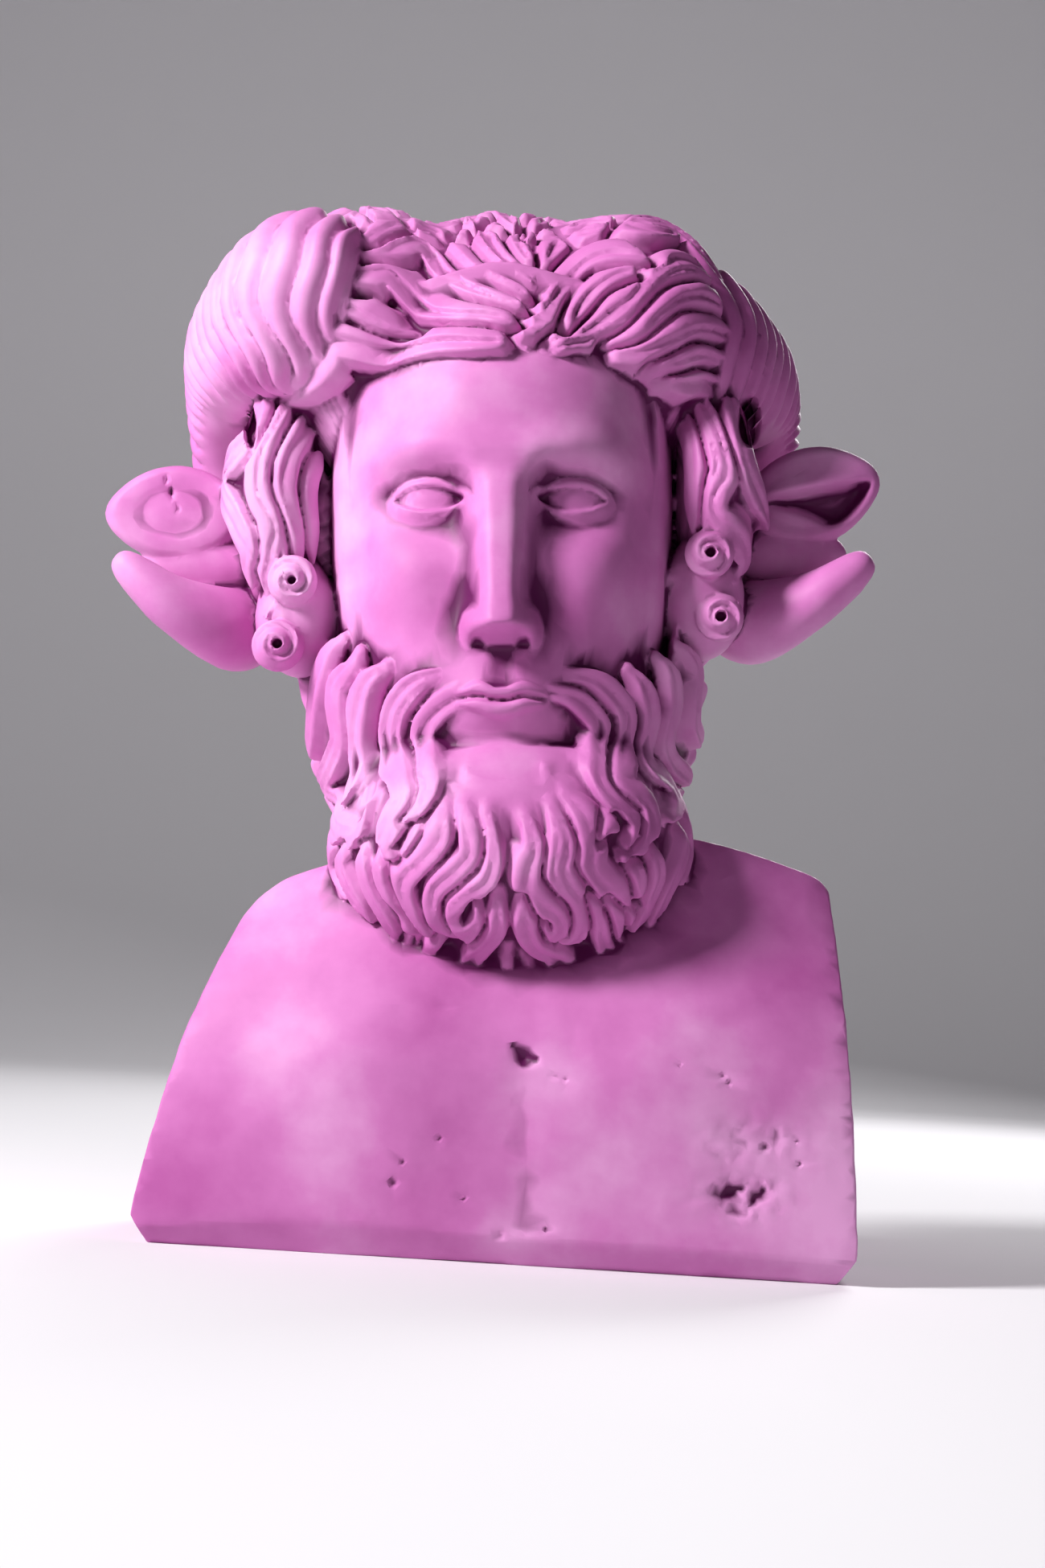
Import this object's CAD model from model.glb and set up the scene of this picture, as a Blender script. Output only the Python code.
import math

import bpy
import numpy as np
from mathutils import Euler, Matrix, Vector


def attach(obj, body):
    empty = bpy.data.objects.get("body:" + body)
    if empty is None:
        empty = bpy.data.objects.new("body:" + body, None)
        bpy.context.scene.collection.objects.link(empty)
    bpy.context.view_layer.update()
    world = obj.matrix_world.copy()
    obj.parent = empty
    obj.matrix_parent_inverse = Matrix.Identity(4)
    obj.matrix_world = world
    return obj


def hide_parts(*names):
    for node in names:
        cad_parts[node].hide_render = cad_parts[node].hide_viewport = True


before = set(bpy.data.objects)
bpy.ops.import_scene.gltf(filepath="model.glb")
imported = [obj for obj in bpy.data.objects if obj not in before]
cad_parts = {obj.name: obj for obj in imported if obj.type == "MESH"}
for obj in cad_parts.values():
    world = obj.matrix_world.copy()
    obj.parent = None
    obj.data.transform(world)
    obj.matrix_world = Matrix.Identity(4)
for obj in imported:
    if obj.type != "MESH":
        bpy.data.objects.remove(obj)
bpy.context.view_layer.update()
bpy.ops.object.select_all(action="DESELECT")
print("frame loaded")

# Millimetres. The head leans, and in its own frame X is right, Y back, Z up, with Z = 0 at the eyes.
headCentre = np.array([-18.8, 0, 353.7])
headLean = math.radians(-3.55)


def inHead(points):
    c, s = math.cos(headLean), math.sin(headLean)
    x, y, z = points[:, 0], points[:, 1], points[:, 2]
    return np.stack([x * c + z * s, y, z * c - x * s], 1) + headCentre


def outOfHead(points):
    c, s = math.cos(headLean), math.sin(headLean)
    x, y, z = (points - headCentre).T
    return np.stack([x * c - z * s, y, z * c + x * s], 1)


def lerp(a, b, t):
    return a + (b - a) * t


def bell(x, width):
    return np.exp(-((x / width) ** 2))


def smoothStep(x, low, high):
    t = np.clip((x - low) / (high - low), 0, 1)
    return t * t * (3 - 2 * t)


def along(stations, x):
    stations = sorted(stations)
    at = np.array([s[0] for s in stations], float)
    value = np.array([s[1] for s in stations], float)
    slope = np.gradient(value, at)
    x = np.clip(x, at[0], at[-1])
    i = np.clip(np.searchsorted(at, x) - 1, 0, len(at) - 2)
    gap = at[i + 1] - at[i]
    t = (x - at[i]) / gap
    start = (2 * t**3 - 3 * t**2 + 1) * value[i] + (t**3 - 2 * t**2 + t) * gap * slope[i]
    return start + (3 * t**2 - 2 * t**3) * value[i + 1] + (t**3 - t**2) * gap * slope[i + 1]


def normalised(v):
    return v / np.maximum(1e-9, np.linalg.norm(v, axis=-1, keepdims=True))


noiseHash = {"x": 73856093, "y": 19349663, "z": 83492791, "seed": 2654435, "mix": 1274126177, "mask": 0x7FFFFFFF}


# Smooth seeded noise from -1 to 1, cell millimetres across.
def noiseAt(points, cell, seed):
    p = points / cell + seed * 17.31
    base = np.floor(p).astype(np.int64)
    f = p - base
    f = f * f * (3 - 2 * f)
    total = np.zeros(len(points))
    for corner in range(8):
        step = np.array([corner & 1, (corner >> 1) & 1, corner >> 2])
        k = base + step
        h = (k[:, 0] * noiseHash["x"]) ^ (k[:, 1] * noiseHash["y"]) ^ (k[:, 2] * noiseHash["z"])
        h = h ^ (seed * noiseHash["seed"])
        h = (h ^ (h >> 13)) * noiseHash["mix"] & noiseHash["mask"]
        weight = np.prod(np.where(step, f, 1 - f), axis=1)
        total += weight * (h / noiseHash["mask"] * 2 - 1)
    return total


stone = []


def applied(piece, kind, **settings):
    modifier = piece.modifiers.new(kind.lower(), kind)
    for name, value in settings.items():
        setattr(modifier, name, value)
    bpy.ops.object.select_all(action="DESELECT")
    piece.select_set(True)
    bpy.context.view_layer.objects.active = piece
    bpy.ops.object.modifier_apply(modifier=modifier.name)


# A ball whose vertices are moved by place(unit points, t down the poles, turn round them).
def carved(name, columns, rows, place, head=True, finer=0):
    bpy.ops.mesh.primitive_uv_sphere_add(segments=columns, ring_count=rows)
    piece = bpy.context.object
    piece.name = name
    if finer:
        applied(piece, "SUBSURF", subdivision_type="SIMPLE", levels=finer)
    points = coordinates(piece)
    points = points / np.linalg.norm(points, axis=1, keepdims=True)
    t = np.arccos(np.clip(points[:, 2], -1, 1)) / math.pi
    turn = np.arctan2(points[:, 1], points[:, 0]) / (2 * math.pi) % 1
    moved = place(points, t, turn)
    setCoordinates(piece, inHead(moved) if head else moved)
    stone.append(piece)
    return piece


def coordinates(piece):
    points = np.empty(len(piece.data.vertices) * 3)
    piece.data.vertices.foreach_get("co", points)
    return points.reshape(-1, 3)


def setCoordinates(piece, millimetres):
    piece.data.vertices.foreach_set("co", (millimetres / 1000).ravel())
    piece.data.update()


# What lies under the hair: ellipsoids by middle and half sizes, seen from a point inside them.
headMasses = [
    ([0, 22, 36], [92, 98, 112]),
    ([-62, -6, 84], [50, 58, 61]),
    ([58, -6, 84], [50, 58, 57]),
    ([0, -2, -15], [80, 94, 132]),
    ([1.5, -2, -78], [94, 86, 108]),
    ([4, -46, -158], [81, 64, 62]),
]
skull = {"middle": np.array([0, 5, 40.0]), "masses": headMasses}
jaw = {"middle": np.array([0, -30, -95.0]), "masses": headMasses}
# Beside the face, down to what stands behind the snail curls.
leftFall = {
    "middle": np.array([-108, -8, 8.0]),
    "masses": [([-108, -8, 8], [23, 37, 58]), ([-97, -19, -52], [22, 27, 28])],
}
rightFall = {
    "middle": np.array([104, -8, 14.0]),
    "masses": [([104, -8, 14], [22, 37, 58]), ([96, -19, -42], [22, 27, 30])],
}
massBlend = 14  # the higher, the sharper the line where two ellipsoids meet


def exitDistance(form, direction):
    total = 0
    for at, size in form["masses"]:
        size = np.array(size)
        o = (form["middle"] - at) / size
        d = direction / size
        od = d @ o
        dd = (d * d).sum(-1)
        root = od**2 - dd * (o @ o - 1)
        total = total + np.where(root > 0, np.maximum(0, (np.sqrt(np.maximum(root, 0)) - od) / dd), 0) ** massBlend
    return total ** (1 / massBlend)


def outward(lon, lat):
    return np.stack([np.sin(lon) * np.cos(lat), -np.cos(lon) * np.cos(lat), np.sin(lat)], -1)


def onForm(form, direction):
    direction = normalised(direction)
    return form["middle"] + direction * exitDistance(form, direction)[..., None]


faceShape = {
    "top": 114,
    "bottom": -158,
    "squareness": 2.3,
    "backDepth": 30,
    "widths": [(114, 4), (104, 44), (88, 66), (64, 78), (20, 83), (-20, 82.5), (-60, 79), (-100, 69), (-130, 54),
               (-150, 34), (-158, 4)],
    "depths": [(114, 12), (104, 38), (88, 60), (64, 76), (20, 86), (-20, 86), (-60, 87), (-100, 86), (-130, 79),
               (-150, 62), (-158, 40)],
    "brow": {"height": 15, "arch": 7, "peak": 38, "swell": 4.5, "tall": 10, "wide": 64},
    "socket": {"wide": 24, "above": 13.5, "below": 21, "depth": 13, "starts": 9, "full": 24},
    "eye": {"side": 33, "depth": 62.2, "radius": 15, "lids": 17.2, "oval": 1.28, "half": 17, "up": 6.6, "down": 5.4},
    "nose": {"top": 20, "tip": -61, "base": -72, "root": (9, 3.5), "end": (11.5, 24)},
    "mouth": {"height": -93.4, "half": 25.5, "upper": 7.2, "lower": 9.2},
    # side, height, half width, half height, rise
    "swells": [
        (13, -61, 5.6, 7.5, 8.5),
        (19, -60, 2.5, 8, -1.8),
        (0, -95, 34, 26, 7),
        (50, -32, 24, 24, 5.5),
        (22, -46, 12, 18, -2.5),
        (0, 62, 48, 26, 3),
        (76, 30, 16, 24, -4),
        (0, -130, 22, 14, 8),
        (0, -111, 22, 6, -3.6),
        (0, -79, 3.2, 7, -1.6),
        (26, -94.6, 4, 4, -1.8),
    ],
}


# Ball and lids of the eye in a socket of this depth.
def eyeRelief(side, z, flesh):
    socket, eye = faceShape["socket"], faceShape["eye"]
    x = side - eye["side"]
    tall = np.where(z < 0, socket["below"], socket["above"])
    hollow = flesh - socket["depth"] * bell(x, socket["wide"]) * bell(z - 1, tall) * smoothStep(
        side, socket["starts"], socket["full"])
    up = z + 0.5
    middle = eye["depth"] - 0.13 * x - 0.0028 * x * x
    across = (x / eye["oval"]) ** 2 + up * up
    ball = middle + np.sqrt(np.maximum(0, eye["radius"] ** 2 - across))
    lids = middle + np.sqrt(np.maximum(0, eye["lids"] ** 2 - across))
    soft = 75 + 1.6 * np.log(np.exp((hollow - 75) / 1.6) + np.exp((lids - 75) / 1.6))
    u = np.clip(x / eye["half"], -1, 1)
    narrow = np.maximum(0, 1 - u * u)
    upper = eye["up"] * narrow**0.75 + 1.2 * u * narrow
    lower = -eye["down"] * narrow**0.9 - 0.3 * u
    inside = np.abs(u) < 1
    fold = 9.6 * np.maximum(0, 1 - (x / 21) ** 2) ** 0.7 + 1.2
    soft = soft + inside * narrow**0.3 * (bell(up - upper - 1.6, 1.5) + 0.7 * bell(up - lower + 1.3, 1.4))
    soft = soft - 1.2 * bell(up - fold, 1.5) * (np.abs(x) < 21)
    isOpen = smoothStep(upper - up, -0.1, 0.7) * smoothStep(up - lower, -0.1, 0.7) * inside
    return lerp(soft, np.minimum(ball, soft), isOpen)


def lips(side, z):
    mouth = faceShape["mouth"]
    taper = np.clip(1 - (side / mouth["half"]) ** 2, 0, 1)
    line = mouth["height"] - 1.5 * bell(side, 6) + 0.8 * bell(side - 9, 6) - 0.0018 * side**2
    upper = line + mouth["upper"] * taper**0.8 - 1.4 * bell(side, 3.2)
    lower = line - mouth["lower"] * taper**0.9
    above = smoothStep(z - line, 0, 1) * smoothStep(upper - z, -0.8, 1)
    below = smoothStep(line - z, 0, 1) * smoothStep(z - lower, -1.2, 1.6)
    fullness = np.sin(math.pi * np.clip((line - z) / (line - lower + 1e-6), 0, 1)) ** 0.6
    rise = 3.2 * taper**0.6 * above + 4.2 * taper**0.7 * below * fullness
    return rise - 3.6 * np.exp(-((side / 25) ** 8)) * bell(z - line, 1.3)


def faceRelief(x, z, skin):
    side = np.sqrt(x * x + 16) - 4 * bell(x, 14)
    brow, nose = faceShape["brow"], faceShape["nose"]
    browHeight = brow["height"] + brow["arch"] * (1 - ((np.maximum(side, 12) - brow["peak"]) / brow["peak"]) ** 2)
    flesh = skin + brow["swell"] * bell(z - browHeight - 2, brow["tall"]) * np.exp(-((side / brow["wide"]) ** 6))
    depth = eyeRelief(side, z, flesh) + lips(side, z)
    down = np.clip((nose["top"] - z) / 80, 0, 1)
    ends = smoothStep(z, nose["base"], nose["tip"]) * smoothStep(down, 0, 0.2)
    (wideTop, riseTop), (wideEnd, riseEnd) = nose["root"], nose["end"]
    depth = depth + lerp(riseTop, riseEnd, down**1.1) * ends * np.exp(-((side / lerp(wideTop, wideEnd, down)) ** 2.6))
    depth = depth + 2 * ends * bell(z + 60, 9) * bell(side, 9)
    for at, height, wide, tall, rise in faceShape["swells"]:
        depth = depth + rise * np.exp(-(((side - at) / wide) ** 2) - ((z - height) / tall) ** 2)
    return depth - 5 * np.exp(-(((side - 8.5) / 3.6) ** 4) - ((z + 68) / 2.4) ** 4)


def skinDepth(share, z):
    power = faceShape["squareness"]
    return 2 + along(faceShape["depths"], z) * (1 - np.minimum(1, share) ** power) ** (1 / power)


def face():
    def place(points, t, turn):
        z = lerp(faceShape["top"], faceShape["bottom"], t)
        width = along(faceShape["widths"], z)
        # three quarters of the turn run across the front
        inFront = turn <= 0.75
        front = np.clip(turn / 0.75, 0, 1)
        back = np.clip((turn - 0.75) / 0.25, 0, 1)
        share = np.where(inFront, 2 * front - 1, np.cos(back * math.pi))
        skin = skinDepth(np.abs(share), z)
        x = share * width
        shown = smoothStep(1 - np.abs(share), 0.01, 0.12)
        relief = lerp(skin, faceRelief(x, z, skin), shown)
        y = np.where(inFront, -relief, faceShape["backDepth"] * np.sin(back * math.pi))
        ends = (t < 1e-4) | (t > 1 - 1e-4)
        return np.stack([np.where(ends, 0, x), np.where(ends, -20, y), z], 1)

    carved("face", 100, 84, place, finer=2)


# Smooth curve through points, at t from 0 to 1.
def curveThrough(points, t):
    count = len(points) - 1
    place = np.clip(t, 0, 1) * count
    i = np.minimum(count - 1, np.floor(place).astype(int))
    f = (place - i)[:, None]
    at = [points[np.clip(i + k, 0, count)] for k in (-1, 0, 1, 2)]
    return 0.5 * (2 * at[1] + (at[2] - at[0]) * f + (2 * at[0] - 5 * at[1] + 4 * at[2] - at[3]) * f**2
                  + (3 * at[1] - at[0] - 3 * at[2] + at[3]) * f**3)


view = {
    "at": (2.7, -1500, 127), "roll": 3.55, "lens": 70.4, "sensor": 36, "shift": (0.0037, 0.131), "size": (1300, 1950),
    "search": (1330, 1540, 2.0),
}
viewTurn = Matrix.Rotation(math.radians(view["roll"]), 3, (0, -1, 0)) @ Euler((math.pi / 2, 0, 0)).to_matrix()


# Points of the 1300 by 1950 view, shot onto a form.
def onFormInView(form, points):
    wide, tall = view["size"]
    points = np.array(points, float)
    across = (points[:, 0] - wide / 2) / tall + view["shift"][0]
    up = (tall / 2 - points[:, 1]) / tall + view["shift"][1]
    scale = view["sensor"] / view["lens"]
    rays = np.stack([across * scale, up * scale, -np.ones(len(points))], 1) @ np.array(viewTurn).T
    rays = rays / rays[:, 1:2]
    eye = outOfHead(np.array([view["at"]], float))
    rays = outOfHead(rays + headCentre) - outOfHead(headCentre[None])
    depth = np.arange(*view["search"])
    p = eye[None] + rays[:, None] * depth[None, :, None]
    away = p - form["middle"]
    reach = np.linalg.norm(away, axis=-1)
    gap = reach - exitDistance(form, away / reach[..., None])
    inside = gap < 0
    first = np.where(inside.any(1), inside.argmax(1), gap.argmin(1))
    return onForm(form, away[np.arange(len(points)), first])


# Where points in millimetres lie in the 1300 by 1950 view.
def inView(points):
    wide, tall = view["size"]
    p = (points - np.array(view["at"])) @ np.array(viewTurn)
    scale = tall * view["lens"] / view["sensor"] / -p[:, 2]
    across = wide / 2 + p[:, 0] * scale - view["shift"][0] * tall
    return across, tall / 2 - p[:, 1] * scale + view["shift"][1] * tall


# Locks of hair, as they lie in the view from root to tip: width in millimetres, strands, lean, points.
hairLines = {
    "leftBrow": (16, 2, -0.4, (640, 436), (600, 434), (560, 431), (525, 438), (490, 446), (455, 439), (432, 438),
                 (415, 452), (402, 472), (388, 492), (368, 512)),
    "leftSecond": (14, 2, -0.4, (528, 424), (508, 424), (488, 414), (468, 402), (448, 392), (430, 389), (412, 397),
                   (400, 412), (391, 432), (381, 452), (372, 474), (362, 496)),
    "leftThird": (16, 2, -0.5, (648, 418), (612, 406), (578, 402), (548, 400), (528, 386), (511, 368), (495, 355),
                  (477, 352), (458, 357), (440, 367), (424, 382), (408, 398), (392, 420), (380, 445), (370, 472)),
    "leftFourth": (14, 2, -0.4, (658, 402), (622, 386), (588, 372), (562, 356), (548, 338), (532, 322), (512, 322),
                   (492, 330), (470, 334), (448, 343), (430, 356)),
    "leftFifth": (15, 2, -0.5, (662, 386), (622, 366), (592, 350), (570, 330), (552, 308), (532, 298), (510, 299),
                  (490, 302), (474, 312), (460, 318), (450, 304), (444, 290)),
    "leftSixth": (15, 3, -0.4, (664, 372), (634, 350), (610, 326), (594, 302), (578, 284), (556, 276), (530, 274),
                  (506, 276)),
    "leftCrown": (13, 2, -0.4, (668, 356), (650, 330), (640, 306), (628, 286), (608, 276), (592, 274)),
    "leftBack": (14, 2, 0, (596, 262), (560, 262), (530, 258), (505, 264)),
    "hornFoot": (14, 2, -0.3, (470, 268), (455, 280), (448, 300), (440, 322), (430, 342)),
    "rightFirst": (17, 2, 0.4, (644, 434), (664, 411), (682, 387), (700, 362), (722, 342), (746, 333), (772, 336),
                   (800, 342)),
    "rightShort": (13, 2, 0.4, (700, 424), (714, 396), (732, 371), (752, 357), (772, 354), (786, 360)),
    "rightThird": (17, 3, 0.3, (682, 438), (722, 430), (750, 413), (777, 388), (799, 362), (822, 347), (848, 346),
                   (868, 360)),
    "rightFourth": (14, 2, 0.4, (742, 441), (778, 430), (806, 402), (828, 383), (850, 378), (872, 388), (884, 404)),
    "rightTop": (17, 2, 0.4, (668, 352), (686, 326), (704, 302), (728, 291), (765, 295), (800, 303), (832, 309)),
    "rightCrown": (13, 2, 0.3, (652, 318), (666, 298), (684, 284), (708, 278)),
    "rightFifth": (17, 2, 0.4, (745, 450), (788, 445), (822, 430), (850, 416), (878, 422), (898, 446), (908, 478)),
    "rightSixth": (15, 2, 0.4, (800, 466), (832, 458), (855, 448), (875, 452), (892, 468), (902, 498), (907, 530)),
    "rightTemple": (14, 2, 0.4, (812, 482), (840, 482), (862, 478), (880, 490), (890, 512), (898, 540)),
}
leftFallLines = {
    "leftFallOuter": (15, 3, -0.3, (334, 490), (328, 528), (316, 556), (299, 574), (290, 592), (289, 611), (296, 634),
                      (306, 656), (315, 676), (313, 697), (317, 720)),
    "leftFallMiddle": (15, 3, -0.4, (362, 518), (345, 545), (333, 570), (329, 595), (333, 618), (343, 637), (347, 656),
                       (342, 680), (335, 704), (336, 728)),
    "leftFallInner": (14, 2, -0.4, (392, 526), (372, 546), (358, 572), (352, 602), (356, 632), (366, 660), (370, 690)),
    "leftFallFace": (10, 1, 0, (392, 572), (382, 600), (381, 640), (384, 690)),
}
rightFallLines = {
    "rightFallFace": (12, 2, 0, (846, 520), (862, 546), (868, 580), (868, 620), (866, 655)),
    "rightFallMiddle": (14, 3, 0.3, (852, 500), (874, 524), (886, 548), (895, 572), (897, 590), (889, 606), (884, 624),
                        (888, 642), (902, 656), (916, 674), (922, 694), (914, 714)),
    "rightFallOuter": (13, 2, 0.3, (906, 505), (910, 532), (917, 562), (927, 592), (937, 622), (947, 652)),
}
beardLines = {
    "leftEdge": (11, 2, -0.3, (386, 775), (374, 812), (370, 850), (372, 900), (378, 940), (392, 980)),
    "leftOuter": (10, 2, -0.3, (405, 775), (389, 818), (383, 865), (382, 910), (388, 950), (402, 986)),
    "leftFlank": (12, 2, -0.3, (430, 798), (413, 838), (405, 878), (402, 915), (402, 945), (408, 975)),
    "leftHook": (12, 3, -0.3, (452, 812), (448, 834), (434, 858), (433, 890), (436, 921), (424, 950), (418, 978),
                 (426, 1008), (443, 1031), (459, 1018), (469, 990)),
    "leftCheek": (13, 2, -0.4, (484, 834), (467, 860), (461, 891), (459, 925), (457, 953), (446, 976), (438, 992)),
    "leftMoustacheOuter": (14, 3, -0.3, (562, 843), (535, 851), (515, 868), (503, 892), (502, 925), (512, 955),
                           (514, 984), (500, 1008), (489, 1030), (488, 1046), (500, 1058)),
    "leftMoustacheInner": (14, 2, -0.3, (618, 862), (578, 868), (549, 886), (536, 912), (535, 945), (538, 970),
                           (528, 994), (510, 1012)),
    "leftBud": (6, 1, 0, (530, 1018), (517, 1040), (504, 1057)),
    "leftChinOuter": (14, 2, -0.5, (557, 998), (552, 1028), (532, 1058), (512, 1080), (509, 1106), (522, 1130),
                      (540, 1148)),
    "leftChinMiddle": (13, 3, -0.3, (577, 1000), (590, 1030), (591, 1055), (572, 1078), (552, 1098), (549, 1122),
                       (561, 1145), (575, 1156)),
    "leftChinInner": (12, 2, 0, (606, 1005), (613, 1045), (605, 1078), (583, 1098), (563, 1114), (561, 1132),
                      (570, 1146), (584, 1150), (596, 1134), (594, 1116)),
    "leftTip": (11, 2, 0, (619, 1104), (617, 1140), (602, 1164), (586, 1184), (588, 1204), (597, 1214)),
    "leftJawEdge": (11, 2, 0, (392, 988), (400, 1015), (408, 1045), (424, 1075), (442, 1105)),
    "leftJawOuter": (11, 3, 0, (437, 1040), (434, 1064), (448, 1100), (472, 1134)),
    "leftJawMiddle": (10, 2, 0, (458, 1042), (467, 1088), (485, 1124), (505, 1158)),
    "leftJawInner": (10, 2, 0, (478, 1050), (483, 1082), (496, 1112), (514, 1140), (526, 1162)),
    "leftUnder": (11, 2, 0, (516, 1152), (512, 1172), (526, 1196), (551, 1207), (574, 1206)),
    "leftUnderInner": (9, 1, 0, (556, 1156), (536, 1164), (534, 1182), (552, 1190), (572, 1190)),
    "rightEdge": (11, 2, 0.3, (874, 790), (881, 830), (881, 870), (881, 910), (884, 945), (880, 985)),
    "rightOuter": (10, 2, 0.3, (860, 800), (870, 850), (873, 900), (878, 935), (879, 965)),
    "rightFlank": (11, 2, 0.3, (838, 804), (853, 838), (851, 875), (853, 905), (865, 930), (874, 958), (868, 990)),
    "rightHook": (11, 2, 0.3, (812, 820), (822, 850), (824, 880), (814, 914), (822, 944), (840, 968), (844, 992)),
    "rightCheek": (12, 2, 0.4, (778, 836), (790, 866), (792, 898), (786, 928), (800, 950), (822, 970), (830, 992),
                   (822, 1012)),
    "rightMoustacheOuter": (13, 2, 0.3, (694, 842), (724, 850), (749, 868), (763, 893), (762, 925), (757, 955),
                            (768, 975), (790, 990), (798, 1015), (790, 1042), (768, 1060)),
    "rightMoustacheInner": (13, 2, 0.3, (650, 862), (698, 869), (722, 885), (735, 907), (738, 935), (738, 960),
                            (752, 982), (772, 1000), (782, 1018), (772, 1042)),
    "rightBud": (9, 1, 0, (758, 1010), (746, 1022), (738, 1040)),
    "rightChinOuter": (14, 2, 0.4, (702, 986), (722, 1012), (729, 1040), (731, 1066), (748, 1090), (772, 1108),
                       (788, 1120)),
    "rightChinMiddle": (13, 3, 0.3, (686, 1000), (692, 1035), (688, 1062), (696, 1086), (712, 1108), (718, 1130),
                        (710, 1150), (694, 1160)),
    "rightChinInner": (13, 2, 0, (654, 1012), (661, 1042), (654, 1068), (654, 1090), (672, 1108), (690, 1122),
                       (695, 1142), (684, 1152), (675, 1140)),
    "rightTip": (12, 2, 0, (650, 1104), (652, 1140), (667, 1164), (690, 1175), (707, 1188), (704, 1206)),
    "tipScroll": (9, 1, 0, (650, 1184), (668, 1194), (678, 1206), (668, 1218)),
    "tipMiddle": (9, 1, 0, (632, 1180), (628, 1200), (640, 1214)),
    "rightJawEdge": (11, 2, 0, (870, 990), (866, 1020), (854, 1052), (836, 1090)),
    "rightJawOuter": (11, 2, 0, (838, 1020), (836, 1058), (822, 1096), (796, 1138)),
    "rightJawMiddle": (10, 2, 0, (804, 1046), (808, 1080), (797, 1110), (778, 1146)),
    "rightJawInner": (10, 2, 0, (778, 1062), (786, 1086), (784, 1112), (768, 1150)),
    "rightUnder": (10, 2, 0, (728, 1104), (738, 1130), (745, 1156), (748, 1180)),
    "rightUnderInner": (9, 2, 0, (750, 1104), (764, 1130), (766, 1158)),
}
hairStyle = {"spread": 1.25, "rise": 9, "wall": 2.6, "strandDepth": 4, "sharp": 0.75, "ground": -3, "root": 0.05,
             "mesh": (130, 120)}
beardStyle = {"spread": 1.15, "rise": 7.5, "wall": 2.2, "strandDepth": 2.6, "sharp": 0.35, "ground": -2, "root": 0.14,
              "mesh": (140, 110)}
fallStyle = {"spread": 1.15, "rise": 6.5, "wall": 2.2, "strandDepth": 3, "sharp": 0.5, "ground": -3, "root": 0.05,
             "mesh": (90, 80)}


# A plainer wavy lock, from start to end in degrees round and up, as seen from the middle of the hair or beard.
def plainLock(form, start, end, sway, waves, width, strands):
    (lon0, lat0), (lon1, lat1) = start, end
    t = np.linspace(0, 1, 40)
    aside = sway * np.sin(2 * math.pi * waves * t)
    lat = lerp(lat0, lat1, t)
    lon = lerp(lon0, lon1, t) + aside / np.maximum(0.3, np.cos(np.radians(lat)))
    return width, strands, 0.2, onForm(form, outward(np.radians(lon), np.radians(lat)))


# A lock over the crown, from the parting to one side.
def partedLock(back, way):
    t = np.linspace(0, 1, 40)[:, None]
    start = np.array([0.06, -math.sin(back), math.cos(back)])
    end = np.array([0.9 * way, 0.12 - 0.6 * math.sin(back), 0.42])
    wave = np.array([0, 0.05, 0]) * np.sin(2 * math.pi * 2.3 * t)
    return 21, 3, 0.3 * way, onForm(skull, lerp(start, end, t) + wave)


def hairRows():
    back = [plainLock(skull, (lon, 58), (lon + 6, -46), sway=2.5, waves=2.8, width=25, strands=3)
            for lon in range(82, 282, 12)]
    return back + [partedLock(math.radians(lean), way) for lean in (24, 11, -2, -15, -28) for way in (-1, 1)]


def beardRows():
    back = [plainLock(jaw, (lon, -40), (lon * 0.9, -82), sway=3, waves=1, width=20, strands=2)
            for lon in range(96, 276, 15)]
    return back + [plainLock(jaw, (lon, -78), (lon * 0.7, -88), sway=1, waves=1, width=20, strands=2)
                   for lon in range(-80, 90, 40)]


def traced(form, lock, spread):
    width, strands, lean = lock[0] * spread, lock[1], lock[2]
    points = onFormInView(form, lock[3:])
    length = np.linalg.norm(np.diff(points, axis=0), axis=1).sum()
    line = curveThrough(points, np.linspace(0, 1, int(length / 1.2) + 6))
    return width, strands, lean, onForm(form, line - form["middle"])


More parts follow.
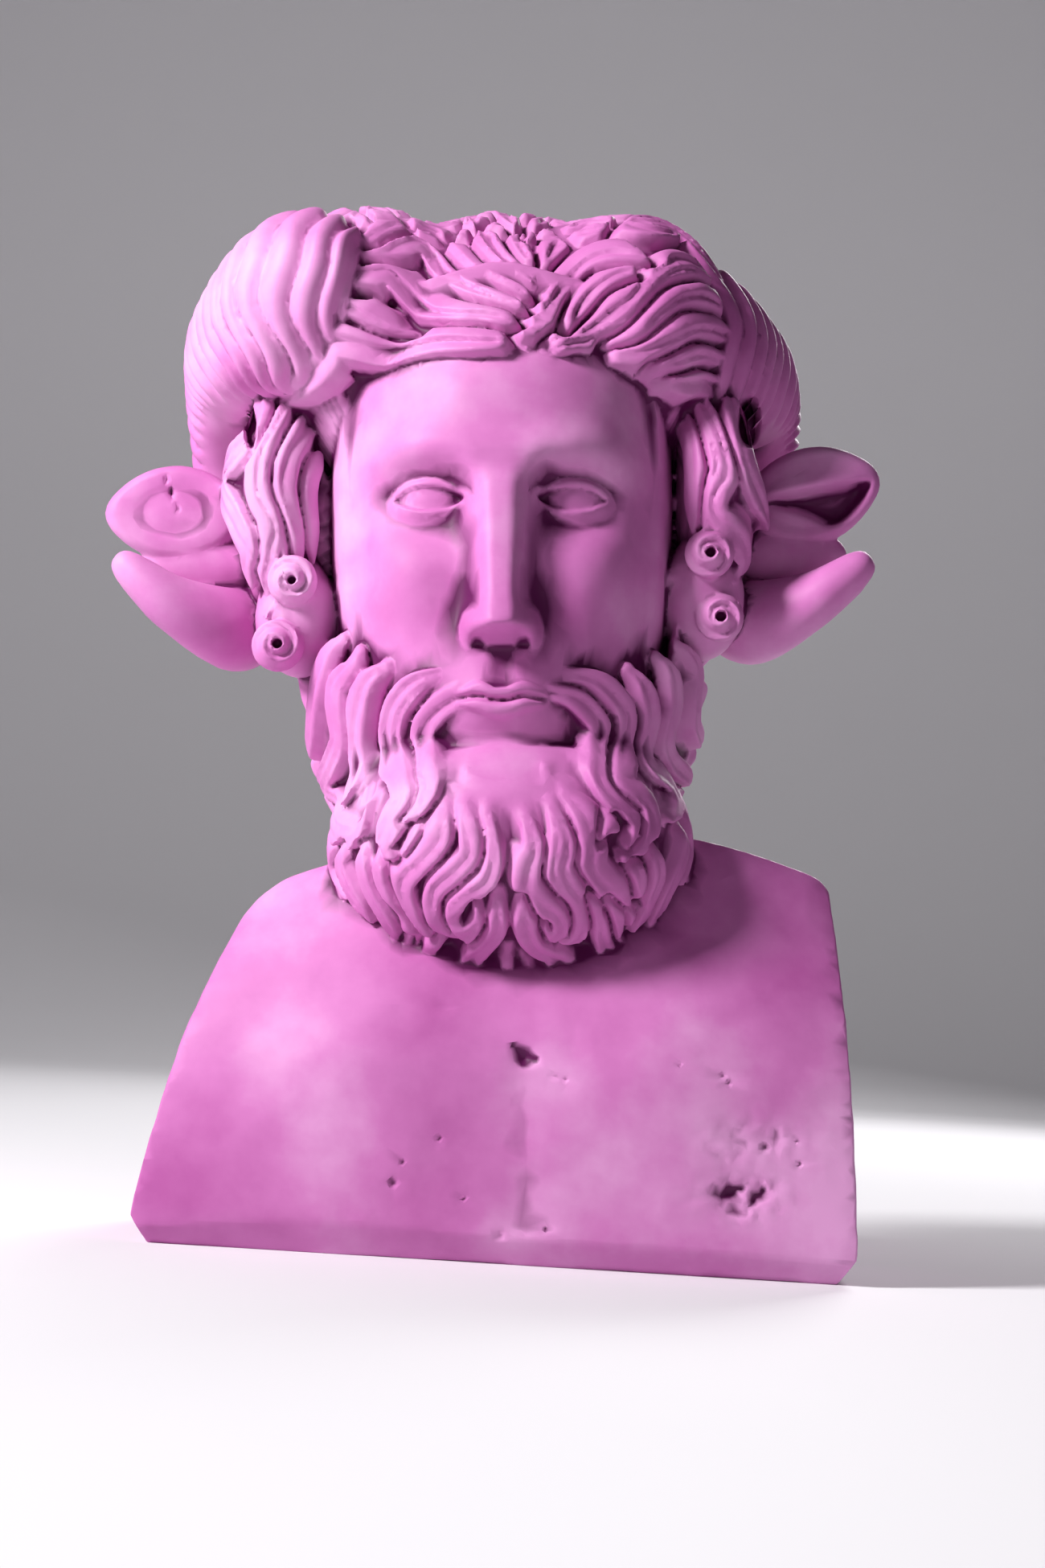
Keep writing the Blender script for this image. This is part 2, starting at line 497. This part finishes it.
# Height of the carved hair over the head: each place belongs to its nearest lock, with narrow channels between.
def carving(middle, base, locks, style):
    n = len(base)
    nearest, second = np.full(n, 9.0), np.full(n, 9.0)
    values = {name: np.zeros(n) for name in ("side", "half", "other", "strands", "lean", "t")}
    values["half"] += 8
    values["other"] += 8
    for width, strands, lean, points in locks:
        centre = points.mean(0)
        reach = np.linalg.norm(points - centre, axis=1).max() + width * 1.5
        near = np.nonzero(((base - centre) ** 2).sum(1) < reach**2)[0]
        q = base[near]
        gaps = (points**2).sum(1) - 2 * q @ points.T
        i = gaps.argmin(1)
        ahead = normalised(np.gradient(points, axis=0))
        across = normalised(np.cross(ahead, points - middle))
        away = q - points[i]
        side = (away * across[i]).sum(1)
        on = (away * ahead[i]).sum(1)
        beyond = np.where(i == 0, np.maximum(0, -on), np.where(i == len(points) - 1, np.maximum(0, on), 0))
        t = i / (len(points) - 1)
        half = width / 2 * lerp(0.55, 1, smoothStep(t, 0, 0.2)) * lerp(0.35, 1, smoothStep(1 - t, 0, 0.25))
        far = np.hypot(side, beyond) * (1 + lean * np.sign(side) * 0.4)
        ratio = far / half
        first = ratio < nearest[near]
        then = ~first & (ratio < second[near])
        second[near] = np.where(first, nearest[near], np.where(then, ratio, second[near]))
        values["other"][near] = np.where(first, values["half"][near], np.where(then, half, values["other"][near]))
        nearest[near] = np.where(first, ratio, nearest[near])
        found = {"side": np.sign(side) * far, "half": half, "strands": strands, "lean": lean, "t": t}
        for name, value in found.items():
            values[name][near] = np.where(first, value, values[name][near])
    half = values["half"]
    between = (second - nearest) / (1 / half + 1 / values["other"])
    edge = np.minimum(between, (1 - nearest) * half)
    share = values["side"] / np.maximum(0.5, np.abs(values["side"]) + np.maximum(edge, 0))
    strands = np.maximum(1, values["strands"])
    phase = (share + 1) / 2 * strands + 0.12 * np.sin(9 * values["t"])
    part = phase - np.floor(phase)
    part = np.where(values["lean"] < 0, part, 1 - part)
    rounded = np.abs(np.sin(math.pi * part)) ** 0.5
    keen = smoothStep(part, 0, 0.2) * (1 - 0.9 * np.clip((part - 0.2) / 0.8, 0, 1) ** 0.75)
    crest = lerp(rounded, keen, style["sharp"] * np.minimum(1, 3 * np.abs(values["lean"])))
    wall = smoothStep(edge, -0.4, style["wall"])
    root = smoothStep(values["t"], 0, style["root"]) ** 0.5
    room = np.abs(values["side"]) + np.maximum(edge, 0)
    depth = style["strandDepth"] * smoothStep(room, 1, 5)
    height = (style["rise"] * wall - depth * (1 - crest) * wall) * lerp(0.35, 1, root)
    return np.where(edge > -0.4, height, style["ground"] * smoothStep(-edge, 0.4, 4)), edge


def shell(name, form, locks, style):
    middle = form["middle"]

    def place(points, t, turn):
        # the columns lie closer together at the front
        u = (turn - 0.25) % 1 * 2 - 1
        out = outward(math.pi * (0.5 * u + 0.5 * u**3), math.pi * (0.5 - t))
        base = onForm(form, out)
        height, edge = carving(middle, base, locks, style)
        p = base + out * height[:, None]
        if form["masses"] is headMasses:
            # outside the locks the head keeps behind the face
            x, z = base[:, 0], base[:, 2]
            wide = along(faceShape["widths"], z)
            inFace = smoothStep(z, -118, -108) * smoothStep(-z, -100, -90) * smoothStep(wide + 6 - np.abs(x), 0, 5)
            held = inFace * smoothStep(-edge, 0, 1.5)
            behind = 12 - skinDepth(np.minimum(1, np.abs(x) / wide), z)
            p[:, 1] = np.where(p[:, 1] < behind, lerp(p[:, 1], behind, held), p[:, 1])
        return p

    carved(name, *style["mesh"], place, finer=2)


sides = [
    {"way": 1, "curls": [((-99, -46, -34), 12), ((-106, -44, -64), 12.5)], "inwards": 0, "earRaise": 0, "earTurn": 0,
     "earRoot": ((-146, 3, -21), (34, 9, 15)), "hornTop": 0, "hornLow": 0, "hornBack": 0},
    {"way": -1, "curls": [((99, -46, -21), 12), ((104, -44, -51), 12)], "inwards": 8, "earRaise": 9, "earTurn": -0.28,
     "earRoot": ((140, 3, -15), (29, 9, 14)), "hornTop": -15, "hornLow": 3, "hornBack": 26},
]


curlShape = {"flatness": 0.75, "turns": 1.9, "groove": 4.5, "hole": 8, "holeRadius": 0.24}


# A flattened dome with a spiral groove cut in its front and a hole drilled in the middle.
def snailCurl(at, radius, way):
    def knob(points, t, turn):
        reach = np.hypot(points[:, 0], points[:, 2])
        angle = np.arctan2(points[:, 2], points[:, 0]) / (2 * math.pi)
        front = smoothStep(-points[:, 1], 0, 0.3)
        turns = reach * curlShape["turns"] - way * angle
        line = (1 - np.abs(np.sin(math.pi * turns))) ** 0.55
        groove = curlShape["groove"] * line * smoothStep(reach, 0.2, 0.4)
        hole = curlShape["hole"] * smoothStep(curlShape["holeRadius"] - reach, 0, 0.08)
        out = points * [1, curlShape["flatness"], 1] * radius + at
        out[:, 1] += front * (groove + hole)
        return out

    carved("curl", 120, 100, knob)


hornShape = {
    "stations": [
        ((-62, -52, 96), 38, 26),
        ((-98, -38, 98), 44, 32),
        ((-120, -8, 87), 36, 31),
        ((-129, 24, 74), 30, 28),
        ((-130, 54, 44), 26, 26),
        ((-128, 65, 8), 25, 25),
        ((-127, 50, -22), 23, 23),
        ((-127, 22, -45), 21, 21),
        ((-134, -4, -51), 20, 18),
        ((-160, -20, -40), 16, 13),
        ((-186, -25, -19), 9, 8),
    ],
    "top": 96,
    "upper": 44,
    "low": -51,
    "ribs": 30,
    "ribDepth": 0.14,
    "ribEnd": 0.66,
    "coilMiddle": (20, 12),
}


def horn(side):
    way = side["way"]
    middles = np.array([at for at, tall, thick in hornShape["stations"]], float)
    top, upper, low = hornShape["top"], hornShape["upper"], hornShape["low"]
    middles[:, 1] += side["hornBack"] * np.clip((middles[:, 2] - upper) / (top - upper), 0, 1)
    raised = np.clip((middles[:, 2] - low) / (top - low), 0, 1)
    middles[:, 2] += lerp(side["hornLow"], side["hornTop"], raised)
    middles[:, 0] = way * (middles[:, 0] + side["inwards"])
    sizes = np.array([(tall, thick, 0) for at, tall, thick in hornShape["stations"]], float)

    def place(points, t, turn):
        middle = curveThrough(middles, t)
        ahead = normalised(curveThrough(middles, t + 0.004) - curveThrough(middles, t - 0.004))
        out = np.broadcast_to([-way, -0.1, 0], middle.shape)
        out = normalised(out - (out * ahead).sum(1, keepdims=True) * ahead)
        across = np.cross(ahead, out)
        angle = turn * 2 * math.pi
        place = t + 0.005 * np.sin(3 * angle + 9 * t) + 0.004 * np.sin(5 * angle + 2) + 0.004 * np.sin(40 * t)
        groove = (1 - np.abs(np.sin(math.pi * hornShape["ribs"] * place / hornShape["ribEnd"]))) ** 1.2
        # smooth inside the coil
        inwards = normalised([0, *hornShape["coilMiddle"]] - middle * [0, 1, 1])
        facing = across * np.cos(angle)[:, None] + out * np.sin(angle)[:, None]
        inner = (inwards * facing).sum(1)
        fade = smoothStep(hornShape["ribEnd"] - t, 0, 0.05) * smoothStep(0.75 - inner, 0, 0.35)
        rib = 1 + hornShape["ribDepth"] * fade * (0.35 - groove)
        end = np.sqrt(np.maximum(0, 1 - np.abs(2 * t - 1) ** 24))
        size = curveThrough(sizes, t)
        tall = (size[:, 0] * rib * end * np.cos(angle))[:, None]
        thick = (size[:, 1] * rib * end * np.sin(angle))[:, None]
        return middle + across * tall + out * thick

    carved("horn", 72, 420, place)


earShape = {
    "middle": (-160, 0, 5), "half": (34, 11, 23.5), "pinch": 0.25, "plate": 5, "hollow": 15, "fold": 1.5,
    "stalk": ((120, 14, -2), (34, 12, 16)),
}


# The left ear is a shallow plate with worn rings, the right one has a folded upper rim over a three-cornered hollow.
def ear(side):
    way, raised, turned = side["way"], side["earRaise"], side["earTurn"]

    def leaf(points, t, turn):
        pinch = 1 - earShape["pinch"] * np.maximum(0, -points[:, 0]) ** 2
        if way > 0:
            rim = np.hypot(points[:, 0] / 0.94, points[:, 2] / 0.93)
            rings = np.sin(18 * rim) * smoothStep(1 - rim, 0.05, 0.2) * smoothStep(rim, 0.3, 0.5)
            hollow = earShape["plate"] * smoothStep(1 - rim, 0, 0.6) + 0.25 * rings
        else:
            rim = np.hypot(points[:, 0] / 0.92, points[:, 2] / 0.9)
            under = 0.12 + 0.12 * points[:, 0] - points[:, 2]
            shallow = 1 - 0.75 * smoothStep(points[:, 0] + 1.1 * under, 0.45, 0.95)
            within = smoothStep(1 - rim, 0, 0.3)
            hollow = earShape["hollow"] * within * smoothStep(under, -0.05, 0.22) * shallow
            hollow = hollow + earShape["fold"] * within * smoothStep(-under, 0.05, 0.3)
        hollow = np.where(points[:, 1] < 0, hollow, 0)
        x = way * points[:, 0] * earShape["half"][0]
        y = points[:, 1] * earShape["half"][1] + hollow
        z = points[:, 2] * earShape["half"][2] * pinch
        c, s = math.cos(turned), math.sin(turned)
        at = earShape["middle"]
        outwards = way * (at[0] + side["inwards"])
        return np.stack([x * c + z * s + outwards, y + at[1], z * c - x * s + at[2] + raised], 1)

    carved("ear", 96, 80, leaf)
    (outwards, back, up), stalk = earShape["stalk"]
    carved("earStalk", 32, 24, lambda p, t, turn: p * stalk + [-way * outwards, back, raised + up])
    at, root = side["earRoot"]
    carved("earRoot", 32, 24, lambda p, t, turn: p * root + at)


neckShape = {"top": -60, "bottom": -215, "half": 60, "flare": 34, "flareFrom": -70, "flareOver": 135, "back": 2}


def neck():
    def place(points, t, turn):
        z = lerp(neckShape["top"], neckShape["bottom"], t)
        flared = np.clip((neckShape["flareFrom"] - z) / neckShape["flareOver"], 0, 1) ** 3
        size = neckShape["half"] + neckShape["flare"] * flared
        angle = turn * 2 * math.pi
        between = (t > 1e-4) & (t < 1 - 1e-4)
        x = np.cos(angle) * size * between
        return np.stack([x, np.sin(angle) * neckShape["half"] * between + neckShape["back"], z], 1)

    carved("neck", 80, 60, place)


blockShape = {
    "left": (-170.4, 0.13, 0.0009), "right": (167.9, -0.079, -0.00012), "front": -85, "back": 75, "backSlope": 0.05,
    "bevelDepth": 7, "bevel": [(-1, 8), (-0.5, 15), (0, 13), (0.5, 12), (1, 10.5)],
    "broken": (10, 9), "brokenHeight": 12.5,
    "shoulders": (168, 187, 28), "corners": (16, 6), "span": (-127, 150), "cornerHeight": 157,
}


def shoulders():
    shape = blockShape
    bpy.ops.mesh.primitive_cube_add(size=1)
    block = bpy.context.object
    block.name = "shoulders"
    bpy.ops.object.mode_set(mode="EDIT")
    bpy.ops.mesh.subdivide(number_cuts=59)
    bpy.ops.object.mode_set(mode="OBJECT")
    p = coordinates(block)
    u = 0.5 - 0.5 * np.cos(math.pi * (p[:, 0] + 0.5))
    sideAt = lambda name, z: shape[name][0] + shape[name][1] * z + shape[name][2] * z * z
    cornerHeight = shape["cornerHeight"]
    topLeft, topRight = sideAt("left", cornerHeight), sideAt("right", cornerHeight)
    topX = lerp(topLeft, topRight, u)
    drop = 0
    for gap, radius in ((topX - topLeft, shape["corners"][0]), (topRight - topX, shape["corners"][1])):
        drop = drop + radius - np.sqrt(radius**2 - np.clip(radius - gap, 0, radius) ** 2)
    low, high, hump = shape["shoulders"]
    s = np.clip((topX - shape["span"][0]) / (shape["span"][1] - shape["span"][0]), 0, 1)
    top = lerp(low, high, s) + hump * np.sin(math.pi * s) ** 0.8 - drop
    z = (p[:, 2] + 0.5) * top
    # the lower corners are broken off, more at the left
    broken = [size * np.clip(1 - z / shape["brokenHeight"], 0, 1) for size in shape["broken"]]
    x = lerp(sideAt("left", z) + broken[0], sideAt("right", z) - broken[1], u)
    across = 2 * u - 1
    bevel = along(shape["bevel"], across)
    front = shape["front"] - shape["bevelDepth"] * np.clip(z / bevel, 0, 1)
    # the chest swells, leans back towards the neck, and turns back at both sides
    front = front - 6 * np.sin(math.pi * np.clip(z / cornerHeight, 0, 1)) + 52 * np.clip((z - 87) / 120, 0, 1) ** 1.6
    front = front - 4 * bell(np.abs(across) - 0.42, 0.25) * bell(z - 102, 45)
    front = front + 26 * np.clip(z / 167, 0, 1) * np.abs(across) ** 3
    back = shape["back"] - shape["backSlope"] * z - 12 * np.abs(across) ** 3
    setCoordinates(block, np.stack([x, lerp(front, back, p[:, 1] + 0.5), z], 1))
    stone.append(block)


face()
neck()
shoulders()
print("head, neck and shoulders shaped")
for name, form, lines, rows, style in (
    ("hair", skull, hairLines, hairRows(), hairStyle),
    ("beard", jaw, beardLines, beardRows(), beardStyle),
    ("leftFall", leftFall, leftFallLines, [], fallStyle),
    ("rightFall", rightFall, rightFallLines, [], fallStyle),
):
    shell(name, form, [traced(form, lock, style["spread"]) for lock in lines.values()] + rows, style)
print("hair and beard carved")
for side in sides:
    for at, radius in side["curls"]:
        snailCurl(at, radius, side["way"])
    horn(side)
    ear(side)
print("horns, ears and curls shaped")


grain = {"voxel": 0.001, "quickVoxel": 0.0015, "smooth": 0.3, "triangles": 194000, "crease": 60}
bpy.ops.object.select_all(action="DESELECT")
for piece in stone:
    piece.select_set(True)
bpy.context.view_layer.objects.active = stone[0]
bpy.ops.object.join()
bust = bpy.context.object
bust.name = "carvedBust"
applied(bust, "REMESH", mode="VOXEL", voxel_size=grain["voxel"], adaptivity=0)
print("stone joined:", len(bust.data.polygons))
applied(bust, "SMOOTH", factor=grain["smooth"], iterations=1)


def triangleCount(piece):
    return sum(len(p.vertices) - 2 for p in piece.data.polygons)


# Marks on the front, as they lie in the view: place, half width and half height, depth in millimetres.
marks = {
    "pits": [(653, 1314, 13, 12, 4), (642, 1304, 8, 7, 1.5), (666, 1317, 5, 5, 2), (690, 1339, 8, 5, 1.2),
             (702, 1343, 5, 4, 1.4), (546, 1416, 4, 4, 1.5), (500, 1445, 3.5, 3.5, 2), (489, 1471, 6, 6, 1.8),
             (576, 1491, 4, 3, 2), (678, 1529, 3, 3, 1.5), (899, 1338, 5, 4, 1.6), (907, 1346, 4, 4, 1.6),
             (952, 1427, 6, 5, 1.8), (995, 1448, 4, 4, 2), (846, 1324, 3, 3, 1.2), (992, 1419, 4, 3, 1),
             (908, 1486, 24, 17, 3.4), (944, 1487, 17, 13, 2), (951, 1480, 6, 5, 2.5), (914, 1508, 9, 7, 1.8),
             (622, 1538, 9, 6, 1.8), (549, 1254, 9, 3, 0.8), (207, 596, 3.5, 8, 2), (213, 613, 3.5, 9, 2),
             (221, 632, 3.5, 8, 1.5)],
    "rough": [(925, 1488, 50, 28, 1.1), (941, 1418, 60, 26, 0.7)],
    "slots": [(312, 530, 8, 30, 9), (932, 524, 15, 34, 12)],
    "stains": [(888, 1081, 16, 10, 0.5), (999, 1135, 18, 12, 0.45), (957, 1188, 9, 24, 0.6), (652, 1316, 20, 17, 0.5),
               (915, 1489, 38, 22, 0.45)],
}


def normalsOf(piece):
    normals = np.empty(len(piece.data.vertices) * 3)
    piece.data.vertices.foreach_get("normal", normals)
    return normals.reshape(-1, 3)


# Cell size and depth in millimetres of the uneven surface.
wear = {"broad": (34, 0.6), "fine": (9, 0.25), "chiselCell": 3, "breastbone": 2.2}


def worn(piece):
    normals = normalsOf(piece)
    p = coordinates(piece) * 1000
    (broadCell, broad), (fineCell, fine) = wear["broad"], wear["fine"]
    amount = broad * noiseAt(p, broadCell, 1) + fine * noiseAt(p, fineCell, 2)
    across, down = inView(p)
    front = (normals[:, 1] < -0.2) & (p[:, 1] < 10)
    within = lambda mark: front * np.exp(-(((across - mark[0]) / mark[2]) ** 2 + ((down - mark[1]) / mark[3]) ** 2))
    for mark in marks["pits"]:
        amount = amount - mark[4] * within(mark) ** 1.5
    for mark in marks["rough"]:
        amount = amount - mark[4] * within(mark) * (1 + 1.6 * noiseAt(p, wear["chiselCell"], 3))
    # shallow groove down the breast bone
    chest = front * smoothStep(down, 1270, 1360) * smoothStep(1545 - down, 0, 20)
    amount = amount - wear["breastbone"] * chest * np.exp(-np.sqrt((across - 652) ** 2 + 60) / 40)
    p = p + normals * amount[:, None]
    for mark in marks["slots"]:
        p[:, 1] += mark[4] * smoothStep(within(mark), 0.3, 0.7)
    p[:, 2] = np.maximum(p[:, 2], 0)
    setCoordinates(piece, p)


worn(bust)
print("surface worn")
applied(bust, "DECIMATE", decimate_type="COLLAPSE", ratio=min(1, grain["triangles"] / triangleCount(bust)))
applied(bust, "TRIANGULATE")
print("triangles:", triangleCount(bust))
bpy.ops.object.shade_smooth_by_angle(angle=math.radians(grain["crease"]))


dirtMask = {"passes": 14, "reach": 5, "stain": 0.25, "bevel": 0.13}


# How far each point lies below the stone round it, as a mask for dirt.
def hollows(piece):
    mesh = piece.data
    p = coordinates(piece) * 1000
    normals = normalsOf(piece)
    edges = np.empty(len(mesh.edges) * 2, np.int64)
    mesh.edges.foreach_get("vertices", edges)
    a, b = edges.reshape(-1, 2).T
    count = np.bincount(a, minlength=len(p)) + np.bincount(b, minlength=len(p))
    smooth = p
    for _ in range(dirtMask["passes"]):
        sums = [np.bincount(a, smooth[b, k], len(p)) + np.bincount(b, smooth[a, k], len(p)) for k in range(3)]
        smooth = np.stack(sums, 1) / count[:, None]
    sunk = ((smooth - p) * normals).sum(1)
    across, down = inView(p)
    stained = sum(mark[4] * np.exp(-((across - mark[0]) / mark[2]) ** 2 - ((down - mark[1]) / mark[3]) ** 2)
                  for mark in marks["stains"]) * (p[:, 1] < 0)
    # the bevel under the chest is dirtier than the chest
    under = smoothStep(-normals[:, 2], 0.25, 0.5) * smoothStep(16 - p[:, 2], 0, 4) * (p[:, 1] < 0)
    value = 0.5 + sunk / dirtMask["reach"] + dirtMask["stain"] * stained + dirtMask["bevel"] * under
    layer = mesh.attributes.new("sunk", "FLOAT", "POINT")
    layer.data.foreach_set("value", np.clip(value, 0, 1).astype(np.float32))


hollows(bust)
print("hollows measured")


marbleLook = {
    "roughness": 0.55, "shine": 0.3, "cloudScale": 9, "cloudDetail": 6,
    "clouds": [(0.32, (0.46, 0.1, 0.35)), (0.5, (0.6, 0.18, 0.48)), (0.66, (0.74, 0.34, 0.64))],
    "dirtFrom": 0.55, "dirtTo": 0.85, "dirt": (0.1, 0.004, 0.07),
}


def marble():
    material = bpy.data.materials.new("orchidMarble")
    material.use_nodes = True
    nodes, links = material.node_tree.nodes, material.node_tree.links
    shader = nodes["Principled BSDF"]
    shader.inputs["Roughness"].default_value = marbleLook["roughness"]
    shader.inputs["Specular IOR Level"].default_value = marbleLook["shine"]

    def ramp(value, stops):
        node = nodes.new("ShaderNodeValToRGB")
        elements = node.color_ramp.elements
        while len(elements) < len(stops):
            elements.new(0.5)
        for element, (position, colour) in zip(elements, stops):
            element.position = position
            element.color = (*colour, 1)
        links.new(value, node.inputs["Fac"])
        return node.outputs["Color"]

    noise = nodes.new("ShaderNodeTexNoise")
    noise.inputs["Scale"].default_value = marbleLook["cloudScale"]
    noise.inputs["Detail"].default_value = marbleLook["cloudDetail"]
    noise.inputs["Roughness"].default_value = 0.55
    links.new(nodes.new("ShaderNodeTexCoord").outputs["Object"], noise.inputs["Vector"])
    sunk = nodes.new("ShaderNodeAttribute")
    sunk.attribute_name = "sunk"
    colour = nodes.new("ShaderNodeMix")
    colour.data_type = "RGBA"
    colour.inputs["B"].default_value = (*marbleLook["dirt"], 1)
    links.new(ramp(noise.outputs["Fac"], marbleLook["clouds"]), colour.inputs["A"])
    dirtStops = [(marbleLook["dirtFrom"], (0, 0, 0)), (marbleLook["dirtTo"], (1, 1, 1))]
    links.new(ramp(sunk.outputs["Fac"], dirtStops), colour.inputs["Factor"])
    links.new(colour.outputs["Result"], shader.inputs["Base Color"])
    return material


bust.data.materials.clear()
bust.data.materials.append(marble())
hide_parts("bust")
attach(bust, "root")


sweep = {"size": 10000, "near": -4000, "bendFrom": 2300, "bend": 1200, "colour": (0.78, 0.76, 0.79), "roughness": 0.9}


def stage():
    bpy.ops.mesh.primitive_plane_add(size=1)
    floor = bpy.context.object
    floor.name = "floor"
    bpy.ops.object.mode_set(mode="EDIT")
    bpy.ops.mesh.subdivide(number_cuts=60)
    bpy.ops.object.mode_set(mode="OBJECT")
    p = coordinates(floor)
    # a flat floor that bends up into a backdrop
    y = (p[:, 1] + 0.5) * sweep["size"] + sweep["near"]
    bend, bendFrom = sweep["bend"], sweep["bendFrom"]
    beyond = np.maximum(0, y - bendFrom)
    angle = np.minimum(beyond / bend, math.pi / 2)
    back = np.minimum(y, bendFrom) + bend * np.sin(angle)
    up = bend * (1 - np.cos(angle)) + np.maximum(0, beyond - bend * math.pi / 2)
    setCoordinates(floor, np.stack([p[:, 0] * sweep["size"], back, up], 1))
    bpy.ops.object.shade_smooth()
    paper = bpy.data.materials.new("palePaper")
    paper.use_nodes = True
    shader = paper.node_tree.nodes["Principled BSDF"]
    shader.inputs["Base Color"].default_value = (*sweep["colour"], 1)
    shader.inputs["Roughness"].default_value = sweep["roughness"]
    floor.data.materials.append(paper)


# Place and size in metres, energy in watts.
lights = {
    "key": {"at": (-1.5, -0.95, 1.45), "energy": 72, "size": 0.4},
    "fill": {"at": (1.3, -1.1, 0.5), "energy": 0.8, "size": 1.2},
    "rim": {"at": (0.7, 1.9, 1.3), "energy": 32, "size": 0.7},
}
lit = {"target": (0, 0, 0.27), "world": (0.5, 0.48, 0.52), "strength": 0.1}


def light(name, at, energy, size):
    bpy.ops.object.light_add(type="AREA", location=at)
    lamp = bpy.context.object
    lamp.name = name
    lamp.data.energy = energy
    lamp.data.size = size
    lamp.rotation_euler = (Vector(lit["target"]) - lamp.location).to_track_quat("-Z", "Y").to_euler()


def cameraAndLight():
    bpy.ops.object.camera_add()
    camera = bpy.context.object
    camera.name = "photographView"
    camera.data.sensor_fit = "VERTICAL"
    camera.data.sensor_height = view["sensor"]
    camera.data.lens = view["lens"]
    camera.data.shift_x, camera.data.shift_y = view["shift"]
    camera.matrix_world = Matrix.Translation(Vector(view["at"]) / 1000) @ viewTurn.to_4x4()
    bpy.context.scene.camera = camera
    for name, lamp in lights.items():
        light(name, **lamp)
    world = bpy.data.worlds.new("studio")
    bpy.context.scene.world = world
    world.use_nodes = True
    background = world.node_tree.nodes["Background"]
    background.inputs["Color"].default_value = (*lit["world"], 1)
    background.inputs["Strength"].default_value = lit["strength"]
    bpy.context.scene.view_settings.view_transform = "Standard"


stage()
cameraAndLight()
print("stage, camera and lights ready")
